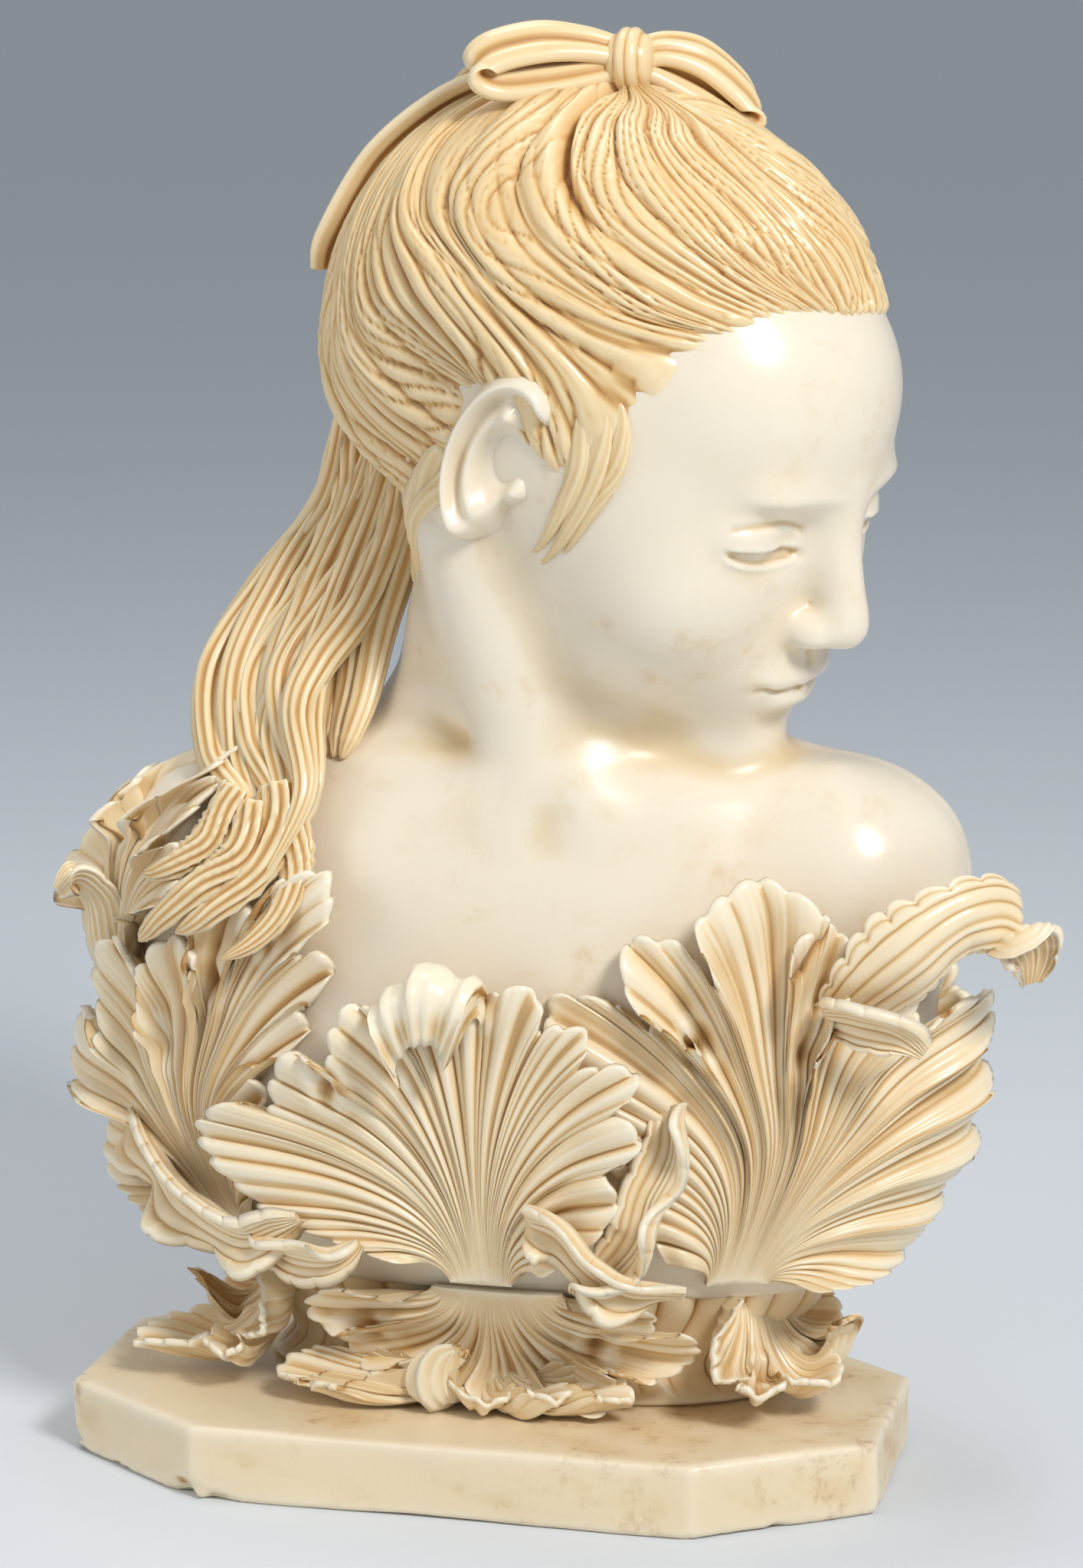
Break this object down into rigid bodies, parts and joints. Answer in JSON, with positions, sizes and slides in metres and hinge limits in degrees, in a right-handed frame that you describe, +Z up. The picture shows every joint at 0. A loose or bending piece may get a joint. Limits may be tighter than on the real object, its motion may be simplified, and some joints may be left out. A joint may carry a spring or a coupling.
{
  "type": "marble bust",
  "caption": "Carved marble bust of a girl, head turned aside, with a ribbon bow and ponytail, rising from acanthus leaves on an octagonal plinth.",
  "frame": {"origin": "middle of the bounding box in plan, at the underside of the plinth", "axes": "+Z up; +X to the right along the plinth's front edge as the viewer sees it; -Y out of the front, so the shoulders lie along X"},
  "size_m": [0.3402, 0.1746, 0.4758],
  "materials": {
    "polished_marble": "polished, pale cream, faint honey stains",
    "carved_marble": "satin, cream with a honey patina in the grooves",
    "plinth_marble": "satin, cream, worn and stained at the edges",
    "setting_compound": "matt, brown-grey",
    "steel": "dull, bare"
  },
  "bodies": {
    "root": {"torso": "polished_marble", "head": "polished_marble", "ear_right": "polished_marble", "ear_left": "polished_marble", "hair_cap": "carved_marble", "bow_knot": "carved_marble", "bow_loop_left": "carved_marble", "bow_loop_right": "carved_marble", "bow_tail": "carved_marble", "tail_main": "carved_marble", "tail_inner": "carved_marble", "leaf_left": "carved_marble", "leaf_right": "carved_marble", "leaf_centre": "carved_marble", "leaf_shoulder": "carved_marble", "leaf_back_left": "carved_marble", "leaf_back_right": "carved_marble", "leaf_back_centre": "carved_marble", "leaf_curl_right": "carved_marble", "leaf_tip_left": "carved_marble", "leaf_ruffle_left": "carved_marble", "leaf_ruffle_right": "carved_marble", "socle": "carved_marble", "socle_leaf_front": "carved_marble", "plinth_leaf_front": "carved_marble", "plinth_leaf_left": "carved_marble", "plinth_leaf_right": "carved_marble", "plinth": "plinth_marble", "joint_bed": "setting_compound", "rod_grout": "setting_compound", "threaded_rod": "steel", "washer": "steel", "hex_nut": "steel"}
  },
  "joints": []
}
